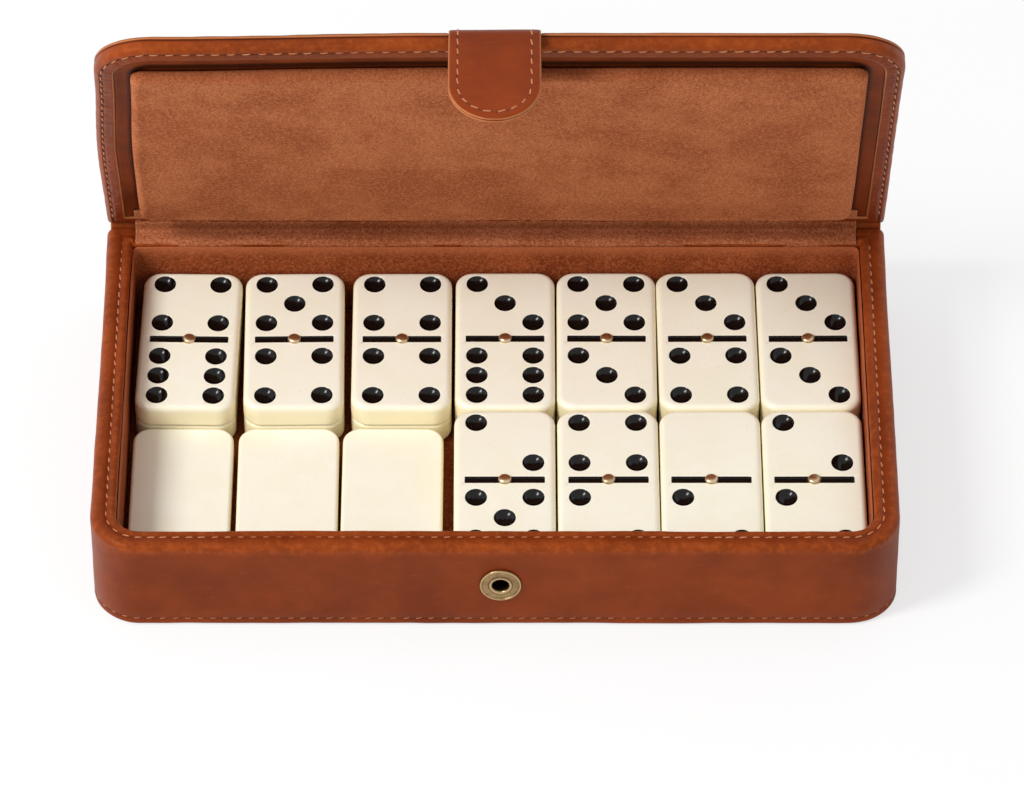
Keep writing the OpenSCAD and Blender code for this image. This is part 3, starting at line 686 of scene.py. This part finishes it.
LID_D, LID_END, LID_TURN, LID_SEAM, TOP_SEAM, LID_R = 112.9, 0.55, 4.6, 1.6, 2.4, 14.5
TAB_HALF, STRAP = 10.9, 20.0
UNDER = LID_T - 1
lid_middle = (0, -LID_END - LID_D / 2)
lid_plan = Plan(TRAY_W, LID_D, LID_R, 0.35, 0.7, lid_middle)
# The bead and the turned edge are painted lighter, partly wear and partly a painted highlight; the
# seam grooves and the notch under the outer panel's edge are painted darker, which is painted
# shade.
binding_section = (
    [(56.2, UNDER - 0.05), (30, UNDER - 0.05), (1.1, UNDER - 0.05), (1.1, 1.15),
     (LID_TURN - 0.05, 1.15)]
    + [(LID_TURN, 0.5, 0.7, 0), (LID_TURN + 0.03, 0.12, 1, 0), (LID_TURN - 0.12, -0.12, 1, 0.2),
       (LID_TURN - 0.4, -0.2, 0.15, 0)]
    + line((LID_TURN - 0.4, -0.2), (LID_SEAM + 0.5, -0.12), 4)
    + [(LID_SEAM + 0.42, -0.08), (LID_SEAM + 0.15, 0.16, 0, -0.6), (LID_SEAM - 0.15, 0.16, 0, -0.6),
       (LID_SEAM - 0.42, 0.0, 0, 0.1)]
    + arc((1.5, 1.5), 1.55, 250, 180, 9, 0.36)
    + [(-0.05, 2.4, 0, 0.4), (0.0, UNDER - 0.5, 0, 0.25), (0.12, UNDER - 0.15, 0, 0),
       (0.42, UNDER, 0, -0.9), (0.4, UNDER + 0.12, 0, -0.9), (0.08, UNDER + 0.2, 0.3, 0),
       (0.0, UNDER + 0.38, 1, 0), (0.02, UNDER + 0.66, 0.5, 0), (0.2, LID_T - 0.08, 0, 0.3),
       (0.5, LID_T, 0, 0)]
    + [(1.3, LID_T), (TOP_SEAM - 0.5, LID_T - 0.05), (TOP_SEAM - 0.15, LID_T - 0.3, 0, -0.4),
       (TOP_SEAM + 0.15, LID_T - 0.3, 0, -0.4), (TOP_SEAM + 0.5, LID_T - 0.05), (3.6, LID_T)]
    + [(inset, LID_T) for inset in (5, 7, 9, 12, 15, 18, 22, 26, 30, 34, 38, 42, 46, 50, 53)]
)


def pleat(points):
    """Folds that gather in the turned-in leather, and beds for the spine and for the strap."""
    dice = random.Random(21)
    x, y, z = np.moveaxis(points, -1, 0)
    edge = points[9]
    along = np.cumsum(np.linalg.norm(np.diff(edge, axis=0, append=edge[:1]), axis=1))
    wave = np.zeros(len(along))
    here = 0.0
    while here < along[-1]:
        here += dice.uniform(1.1, 3.0)
        wide, deep = dice.uniform(0.25, 0.7), dice.uniform(0.2, 1.0)
        wave += deep * np.exp(-((along - here) / wide) ** 2)
    for ring, (inset, height, *_) in zip(z, binding_section):
        if 1.0 < inset < LID_TURN and height < 1:
            ring += 0.32 * math.sin(math.pi * min(1, (inset - 1.0) / 3.4)) * wave
    behind = (np.abs(x) < SPINE_HALF) & (y > -9.15) & (z > 2.5)
    z[behind] = np.minimum(z[behind], LID_T - 1.15)
    outer_end = (y < STRAP + 0.6 - LID_END - LID_D) & (z > LID_T - 0.6)
    z[(np.abs(x) < TAB_HALF + 0.3) & outer_end] -= 0.25


def in_lid(thing):
    """Draws in the lid's front left corner, which has shrunk, and sets the lid's piece open."""
    def ease(t):
        t = min(1, max(0, t))
        return t * t * (3 - 2 * t)
    for v in thing.data.vertices:
        side, end = -v.co.x / MM, ease((-v.co.y / MM - 40) / 65)
        v.co.x += 2.1 * MM * ease((side - 20) / 77) * end
        v.co.y += 2.2 * MM * ease((side - 12) / 70) * end
    thing.data.transform(lid_frame)
    return thing


binding = loft("lid_binding", lid_plan, binding_section, closed=False, tune=pleat)
crumple(binding, 0.12, 0.05, 8)
crumple(binding, 0.07, 0.24, 9)
in_lid(binding)
dress(binding, [hide_finish], "lid", ["lid_leather"])
lid_card = loft("lid_card", lid_plan,
                [(55, 1.2), (1.3, 1.2), (1.3, UNDER - 0.1), (55, UNDER - 0.1)])
dress(in_lid(lid_card), [board_finish], "lid", ["lid_board"], smooth=False)

# ---------------------------------------------------------------------------------------
# Lid lining. Dark smooth goatskin laid inside the turned-in edge, hollowed a little where
# it runs up to the pad; the strip beside the pad is painted darker as the pad's painted shadow.


def dark_skin():
    skin = Finish("dark_goatskin")
    cloud = skin.mottle(60, 4, 0.6)
    grain = skin.mottle(1700, 3, 0.6)
    colour = skin.blend(cloud.spread(0.3, 0.7), srgb(92, 36, 13), srgb(124, 54, 22))
    # Below 0 the goatskin is darkened: the pad's painted shadow.
    colour = skin.blend(skin.painted("worn").spread(0, -1), colour, srgb(44, 15, 5))
    return skin.surface({"Base Color": colour, "Roughness": cloud * 0.15 + 0.4,
                         "Specular IOR Level": 0.2, "Specular Tint": srgb(255, 150, 80),
                         "Normal": skin.bump(grain, 0.25, 0.0002)})


dark_finish = dark_skin()
lining_rings = (
    [(54.0, 1.0), (LID_TURN + 0.1, 1.0), (LID_TURN + 0.1, 0.4), (LID_TURN + 0.15, 0.26),
     (LID_TURN + 0.5, 0.24)]
    + [(5.7, 0.3), (6.3, 0.36), (6.9, 0.4), (7.5, 0.4, 0, -0.2), (8.1, 0.38, 0, -0.6),
       (8.7, 0.38, 0, -1), (9.5, 0.38, 0, -1), (12, 0.38), (54.0, 0.38)]
)


def under_gusset(points):
    """The lining stops short of the suede strip at the hinge end."""
    x, y, z = np.moveaxis(points, -1, 0)
    z[(np.abs(x) < GUSSET_HALF) & (y > -9.6) & (z < 0.95)] = 0.95


lining = loft("lid_inner_lining", Plan(TRAY_W, LID_D, LID_R, 0.35, 1.2, lid_middle),
              lining_rings, tune=under_gusset)
crumple(lining, 0.08, 0.09, 10)
in_lid(lining)
dress(lining, [dark_finish], "lid", ["lid_lining"])

# ---------------------------------------------------------------------------------------
# Pad. Suede drawn over a card and a thin layer of foam, glued inside the lid. It is
# blown up a little as cloth, with its underside held flat on the lid.

PAD_W, PAD_BACK, PAD_FRONT, PAD_T, PAD_R = 177.5, 9.6, 10.9, 3.0, 1.9
PAD_D = LID_END + LID_D - PAD_BACK - PAD_FRONT


def inflate(thing, pressure, frames, cap, held):
    """Swells a closed mesh as cloth; held points stay, and none moves further than cap."""
    group = thing.vertex_groups.new(name="held")
    group.add([v.index for v in thing.data.vertices if held(v.co)], 1.0, "ADD")
    bpy.context.scene.collection.objects.link(thing)
    cloth = thing.modifiers.new("swell", "CLOTH")
    cloth.settings.quality, cloth.settings.mass = 4, 0.15
    cloth.settings.use_pressure = True
    cloth.settings.uniform_pressure_force = pressure
    cloth.settings.vertex_group_mass = "held"
    cloth.settings.effector_weights.gravity = 0
    cloth.collision_settings.use_collision = False
    for step in range(1, frames + 1):
        bpy.context.scene.frame_set(step)
    swollen = thing.evaluated_get(bpy.context.evaluated_depsgraph_get())
    moves = [after.co - v.co for v, after in zip(thing.data.vertices, swollen.data.vertices)]
    thing.modifiers.remove(cloth)
    thing.vertex_groups.clear()
    bpy.context.scene.frame_set(1)
    for v, move in zip(thing.data.vertices, moves):
        v.co += move * min(1, cap / (move.length or cap))


pad_section = (
    [(inset, 0.15) for inset in (46.7, 38, 30, 16, 6, 1.6)]
    + [(0.5, 0.1), (0.12, -0.1), (0.0, -0.5)]
    + [(0.0, -0.9)] + arc((PAD_R, -PAD_T + 1.75), PAD_R, 180, 270, 8)
    + [(inset, -PAD_T + 0.15 - 0.35 * math.sqrt(min(1, (inset - PAD_R) / 30)))
       for inset in (2.6, 3.4, 4.3, 5.3, 6.5, 8, 10, 12.5, 15, 18, 21, 25, 29, 33, 37, 41, 44.5,
                     46.7)]
)
pad_plan = Plan(PAD_W, PAD_D, 3.2, 3.2, 1.4, (0, -PAD_BACK - PAD_D / 2))
pad = loft("suede_lid_pad", pad_plan, pad_section, closed=False)
inflate(pad, 3.0, 16, 0.7 * MM, lambda co: co.z > -0.2 * MM)
crumple(pad, 0.22, 0.03, 12)
# The pad's front edge, whose rounding faces up, is painted darker over its last 2.6 mm: painted
# shade.
for point, worn in zip(pad.data.vertices, pad.data.attributes["worn"].data):
    from_front = point.co.y / MM + PAD_BACK + PAD_D
    worn.value = -0.9 * min(1, max(0, 1 - from_front / 2.6))
in_lid(pad)
pad_finish = brushed_suede("pad_suede", srgb(162, 87, 52), srgb(190, 113, 72),
                           srgb(204, 132, 92), srgb(124, 60, 32))
dress(pad, [pad_finish], "lid", ["suede_pad"])
pad_card = loft("pad_card", pad_plan, [(45, 0.05), (1.6, 0.05), (1.6, -1.2), (45, -1.2)])
dress(in_lid(pad_card), [board_finish], "lid", ["pad_board"], smooth=False)

# ---------------------------------------------------------------------------------------
# Lid stitching. The same thread round the turned-in edge inside the lid and round the
# outer panel, on three sides.

lid_seam = in_lid(sew("lid_seam",
                      [round_three_sides(lid_plan, LID_SEAM, 0.05, (0, 0, -1), 0.02)],
                      3.8, 2.6, 0.42, 13, lift=0.05, hole_shade=0.24))
dress(lid_seam, thread_finishes, "lid", ["lid_stitching"])
top_seam = in_lid(sew("lid_outer_seam",
                      [round_three_sides(lid_plan, TOP_SEAM, LID_T - 0.28, (0, 0, 1), 0.1)],
                      3.8, 2.6, 0.42, 14, lift=0.05, hole_shade=0.24))
dress(top_seam, thread_finishes, "lid", ["lid_top_stitching"])

# ---------------------------------------------------------------------------------------
# Snap tab. A strap of smooth, glossier hide is sewn to the outside of the lid and bends
# over its free edge to hang as a round-ended tab, with a lining glued behind it. A brass
# stud is riveted through both, with a disc on its back.

TAB_T, BEND_R, TAB_LIFT = 0.85, 2.5, 21
BEND_Y, BEND_Z = -LID_END - LID_D + 0.5, LID_T - 0.2 - BEND_R
BEND_MID, TAB_DROP = BEND_R + TAB_T / 2, BEND_Z + 14.8
BEND_RUN = math.radians(90 - TAB_LIFT) * BEND_MID


def on_tab(s, height):
    """The (y, z) in the lid's frame at s along the tab from the bend, height over its middle."""
    if s < 0:
        return BEND_Y - s, BEND_Z + BEND_MID + height
    turn = math.pi / 2 + min(s, BEND_RUN) / BEND_MID
    reach, rest = BEND_MID + height, max(0.0, s - BEND_RUN)
    return (BEND_Y + reach * math.cos(turn) - rest * math.sin(turn),
            BEND_Z + reach * math.sin(turn) + rest * math.cos(turn))


def tab_width(s):
    """Half the tab's width at s: eased at the end of the strap, and a half circle at the tip."""
    past = max(0.0, s - BEND_RUN - TAB_DROP)
    near = max(0.0, -STRAP + 2 - s)
    return math.sqrt(max(TAB_HALF ** 2 - past ** 2, 0)) - (2 - math.sqrt(max(4 - near ** 2, 0)))


def tab_strip(name, start, over, thick):
    """A layer of the tab from start to its tip, its middle lying over the strap's by over."""
    end = BEND_RUN + TAB_DROP
    stations = [start + 2 * (1 - math.cos(math.radians(a))) for a in range(0, 91, 15)]
    stations += list(np.linspace(start + 2, end, round((end - start) / 0.6))[1:])
    stations += [end + TAB_HALF * math.sin(math.radians(a)) for a in (*range(5, 90, 5), 88, 89.4)]
    across = [-1, -0.985, -0.95, *np.linspace(-0.88, 0.88, 23), 0.95, 0.985, 1]
    points, raw = [], []
    for s in stations:
        wide = tab_width(s)
        tip = min(1, (s - start) / 0.5 + 0.4, (end + TAB_HALF - s) / 0.5 + 0.4)
        for side, order in ((1, across), (-1, across[::-1])):
            for u in order:
                fat = thick / 2 * (1 - 0.6 * abs(u) ** 40) * tip
                points.append((u * wide, *on_tab(s, over + side * fat)))
                raw.append(max(0, (abs(u) - 0.96) / 0.04, 1 - tip))
    return mesh_of(name, points, weave(len(stations), 2 * len(across)), {"raw": raw})


TAB_BEND = [tuple(lid_frame @ (Vector((0, *on_tab(s, 0))) * MM)) for s in (-0.8, BEND_RUN + 0.4)]
tab_finish = tan_hide("tab_hide", srgb(112, 40, 11), srgb(134, 52, 16), 0.06)
tab = in_lid(tab_strip("snap_tab", -STRAP, 0, TAB_T))
crumple(tab, 0.1, 0.09, 15)
dress(tab, [tab_finish], ("lid", "tab", *TAB_BEND),
      ["tab_strap", "tab_bend", "tab_leather"])
tab_under = in_lid(tab_strip("snap_tab_lining", BEND_RUN + 0.1, -TAB_T / 2 - 0.38, 0.68))
dress(tab_under, [hide_finish], "tab", ["tab_lining"])

TAB_IN = 2.2
SEAM_HALF, SEAM_END, TIP_START = TAB_HALF - TAB_IN, TAB_IN - STRAP, BEND_RUN + TAB_DROP
left = [(-SEAM_HALF, s) for s in np.linspace(SEAM_END, TIP_START, 60)]
tip = [(SEAM_HALF * math.cos(math.radians(a)), TIP_START + SEAM_HALF * math.sin(math.radians(a)))
       for a in range(174, 5, -6)]
right = [(-x, s) for x, s in left[::-1]]
end_row = [(x, SEAM_END) for x in np.linspace(SEAM_HALF, -SEAM_HALF, 12)]
tab_runs = []
for row in (left + tip + right, end_row):
    under = np.array([(x, *on_tab(s, TAB_T / 2)) for x, s in row])
    above = np.array([(x, *on_tab(s, TAB_T / 2 + 1)) for x, s in row])
    tab_runs.append((under, above - under))
tab_seam = in_lid(sew("tab_seam", tab_runs, 3.2, 2.35, 0.42, 16, lift=0.03, hole_shade=0.26))
dress(tab_seam, thread_finishes, ("lid", "tab", *TAB_BEND), ["tab_stitching"])

recoat(brass_finish, "snap_stud", "snap_stud_disc")

# ---------------------------------------------------------------------------------------
# Tiles. Cast ivory-coloured resin with soft edges; the pips and the bar are drilled and
# milled, then filled with gloss black, and a brass pin stands in the middle.

TILE_W, TILE_L, TILE_T, TILE_R, FACE_EDGE, BACK_EDGE = 24.8, 49.4, 6.3, 4.4, 1.5, 0.9
PIP_STEP, PIP_MIDDLE, PIP_STRETCH = 7, 13, 1.09
CUP_R, BALL_R, BALL_UP = 2.78, 3.12, 1.51
BAR_HALF, BAR_WIDE, BAR_R = 9.8, 1.12, 0.3
PIPS = {0: "", 1: "c", 2: "ad", 3: "acd", 4: "abed", 5: "abced", 6: "abefgd"}
PIP_AT = {"a": (-1, 1), "b": (1, 1), "c": (0, 0), "d": (1, -1), "e": (-1, -1), "f": (-1, 0),
          "g": (1, 0)}
BACK_ROW = [(4, 6), (5, 4), (4, 4), (3, 6), (5, 3), (3, 4), (3, 3)]
FRONT_ROW = [(2, 5), (4, 2), (0, 2), (2, 2)]
UNDER_BACK = [(0, 0), (0, 1), (0, 3), (0, 4), (0, 5), (0, 6), (1, 1)]
UNDER_FRONT = [(1, 2), (1, 3), (1, 4), (1, 5), (1, 6), (2, 3), (2, 6)]
BACK_TURN = [-1, 0.7, 0.1, 0, -0.15, 0.4, 0.35]
FRONT_TURN = [-0.15, 0.2, -0.1, 0.1, 0.15, 0, 0.1]


def ivory_resin():
    ivory = Finish("ivory_resin")
    cloud = ivory.mottle(90, 3)
    fine = ivory.mottle(900, 3)
    colour = ivory.blend(cloud.spread(0.3, 0.7), srgb(255, 254, 237), srgb(253, 251, 229))
    # The sides and eased edges are painted yellower: a painted warm glow.
    colour = ivory.blend(ivory.painted("side").spread(0, 1), colour, srgb(255, 243, 203))
    return ivory.surface({"Base Color": colour, "Roughness": fine * 0.1 + 0.24,
                          "Specular IOR Level": 0.4,
                          "Normal": ivory.bump(cloud, 0.1, 0.0004)})


def gloss_black():
    black = Finish("gloss_black")
    cloud = black.mottle(400, 2)
    return black.surface({"Base Color": black.blend(cloud, srgb(7, 6, 6), srgb(16, 14, 13)),
                          "Roughness": cloud * 0.06 + 0.14, "Specular IOR Level": 0.26})


tile_finishes = [ivory_resin(), gloss_black(),
                 antique_brass("pin_brass", srgb(214, 192, 156), srgb(184, 160, 124))]
tile_plan = Plan(TILE_W, TILE_L, TILE_R, TILE_R, 0.9)


def bar_loop(shrink):
    """The bar's outline, drawn in by shrink."""
    radius = max(BAR_R - shrink, 0.05)
    return [(sx * (BAR_HALF - shrink - radius) + radius * math.cos(math.radians(start + 30 * k)),
             sy * (BAR_WIDE - shrink - radius) + radius * math.sin(math.radians(start + 30 * k)))
            for sx, sy, start in ((1, 1, 0), (-1, 1, 90), (-1, -1, 180), (1, -1, 270))
            for k in range(4)]


def circle(radius, x=0, y=0, stretch=1):
    """32 points round a circle, or an oval stretched along Y."""
    turns = [math.pi * k / 16 for k in range(32)]
    return [(x + radius * math.cos(a), y + stretch * radius * math.sin(a)) for a in turns]


def eased_edge(radius):
    """A quarter round as (inset, drop, share of the way round)."""
    return [(radius * (1 - math.sin(math.radians(a))), radius * (1 - math.cos(math.radians(a))),
             a / 90) for a in range(0, 91, 15)]


def domino(name, back, front):
    """A tile with its face up, underside at z = 0, number back on its far half."""
    points, faces, kinds, side = [], [], [], []

    def shut(loop, kind):
        faces.append(tuple(loop))
        kinds.append(kind)

    def pile(loops, *band):
        """Joins loops of (outline, height, side) one on the next; band is each wall's material."""
        made = []
        for outline, height, painted in loops:
            made.append(range(len(points), len(points) + len(outline)))
            points.extend((x, y, height) for x, y in outline)
            side.extend([painted] * len(outline))
        for j, (below, above) in enumerate(zip(made, made[1:])):
            for k in range(len(below)):
                n = (k + 1) % len(below)
                shut((below[k], below[n], above[n], above[k]), band[min(j, len(band) - 1)])
        return made

    # side carries the painted warm glow: 1 on the sides, less round the eased edges, 0 on the
    # faces.
    outline = eased_edge(BACK_EDGE) + [(-0.03, TILE_T / 2, 1)]
    outline += [(i, TILE_T - d, s * 0.7) for i, d, s in eased_edge(FACE_EDGE)[::-1]]
    body = pile([(tile_plan.ring(i), z, s) for i, z, s in outline], 0)
    shut(body[0][::-1], 0)
    edges = [body[-1]]
    cup = [(CUP_R, 0)] + [(BALL_R * math.sin(math.radians(a)),
                           BALL_R * math.cos(math.radians(a)) - BALL_UP) for a in range(60, 0, -6)]
    for number, middle in ((back, PIP_MIDDLE), (front, -PIP_MIDDLE)):
        for letter in PIPS[number]:
            px, py = PIP_AT[letter]
            pip = pile([(circle(radius, px * PIP_STEP, middle + py * PIP_STEP, PIP_STRETCH),
                         TILE_T - deep, 0) for radius, deep in cup], 0, 1)
            edges.append(pip[0])
            shut(pip[-1], 1)
    bar = pile([(bar_loop(shrink), TILE_T - deep, 0) for shrink, deep in
                ((0, 0), (0.04, 0.06), (0.1, 0.4), (0.4, 0.46), (0.66, 0.34))], 1)
    edges.append(bar[0])
    shut(bar[-1], 1)
    pin = pile([(circle(radius), TILE_T + lift, 0) for radius, lift in
                ((1.65, -0.55), (1.68, 0.0), (1.68, 0.16), (1.61, 0.4), (1.43, 0.64),
                 (1.14, 0.81), (0.78, 0.91), (0.38, 0.95))], 2)
    shut(pin[0][::-1], 2)
    shut(pin[-1], 2)
    order = [k for loop in edges for k in loop]
    place = {k: n for n, k in enumerate(order)}
    flat = [Vector(points[k][:2]) for k in order]
    made = delaunay_2d_cdt(flat, [], [[place[k] for k in loop] for loop in edges], 1, 1e-5)
    for face, within in zip(made[2], made[5]):
        if list(within) == [0]:
            shut([order[made[3][k][0]] for k in face], 0)
    tile = mesh_of(name, points, faces, {"side": side})
    tile.data.polygons.foreach_set("material_index", kinds)
    return tile


def lay(node, values, turned, face_up):
    """Lays a tile of these two numbers in its node's place, turned by some degrees."""
    tile = domino(node.replace("tile", "domino"), *values)
    low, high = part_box(node)
    middle = (low + high) / 2
    turn = Matrix.Rotation(math.radians(turned), 4, "Z")
    if not face_up:
        turn @= Matrix.Rotation(math.pi, 4, "Y")
    height = low.z if face_up else high.z
    tile.data.transform(Matrix.Translation((middle.x, middle.y, height)) @ turn)
    dress(tile, tile_finishes, node, [node])
    bpy.context.view_layer.objects.active = tile
    even = tile.modifiers.new("even_faces", "WEIGHTED_NORMAL")
    even.mode, even.weight, even.keep_sharp = "FACE_AREA", 100, False


EMPTY = len(BACK_ROW) - len(FRONT_ROW)
for column in range(len(BACK_ROW)):
    back, front = f"tile_back_{column + 1}_", f"tile_front_{column + 1}_"
    lay(back + "upper", BACK_ROW[column], BACK_TURN[column], True)
    lay(back + "lower", UNDER_BACK[column], BACK_TURN[column], False)
    lay(front + "lower", UNDER_FRONT[column], FRONT_TURN[column], False)
    if column >= EMPTY:
        lay(front + "upper", FRONT_ROW[column - EMPTY], FRONT_TURN[column], True)

# ---------------------------------------------------------------------------------------
# Stage. A white floor, soft light from the upper left and a long lens from the front.


def white_floor():
    """White paper, lifted towards pure white where it is seen straight, with its shadows kept."""
    paper = Finish("white_floor")
    grain = paper.mottle(6, 2)
    shade = paper.node("ShaderNodeBsdfPrincipled", {}, {
        "Base Color": paper.blend(grain, (0.97, 0.97, 0.97, 1), (0.98, 0.98, 0.98, 1)),
        "Roughness": 0.9, "Specular IOR Level": 0.0})
    lit = paper.node("ShaderNodeEmission", {}, {0: (1, 1, 1, 1), 1: 1.0})
    seen = paper.node("ShaderNodeLightPath")
    both = paper.node("ShaderNodeMixShader", {}, {0: seen * 0.65, 1: shade, 2: lit})
    paper.node("ShaderNodeOutputMaterial", {}, {0: both})
    return paper.owner


REACH, UNDER_TRAY = 3000, -0.1
floor = mesh_of("floor", [(x * REACH, y * REACH, UNDER_TRAY)
                          for x, y in ((-1, -1), (1, -1), (1, 1), (-1, 1))], [(0, 1, 2, 3)])
bpy.context.scene.collection.objects.link(floor)
floor.data.materials.append(white_floor())

studio = Finish("studio", bpy.data.worlds.new("studio"))
around = studio.node("ShaderNodeBackground", {}, {0: (1, 1, 1, 1), 1: 0.62})
white = studio.node("ShaderNodeBackground", {}, {0: (1, 1, 1, 1), 1: 1.0})
# What is seen, mirrored or seen through is plain white; 0, 3 and 6 are those kinds of ray.
plain = (studio.node("ShaderNodeLightPath") + studio.node("ShaderNodeLightPath", out=3)
         + studio.node("ShaderNodeLightPath", out=6))
studio.node("ShaderNodeOutputWorld", {},
            {0: studio.node("ShaderNodeMixShader", {}, {0: plain, 1: around, 2: white})})
bpy.context.scene.world = studio.owner

light = bpy.data.lights.new("key", "AREA")
light.shape, light.size, light.size_y, light.energy = "RECTANGLE", 0.3, 0.52, 13.6
key = bpy.data.objects.new("key", light)
bpy.context.scene.collection.objects.link(key)
key.location = (-0.87, -0.46, 1.05)
key.rotation_euler = (Vector((0, 0, 0.02)) - key.location).to_track_quat("-Z", "Y").to_euler()

camera = bpy.data.objects.new("camera", bpy.data.cameras.new("camera"))
bpy.context.scene.collection.objects.link(camera)
camera.data.lens, camera.data.sensor_width = 238.0, 36.0
camera.data.clip_start, camera.data.clip_end = 0.1, 20
camera.location = (0.00407, -1.1971, 1.1788)
camera.rotation_euler = (math.radians(46), 0, 0)
bpy.context.scene.camera = camera
bpy.context.scene.view_settings.view_transform = "Standard"
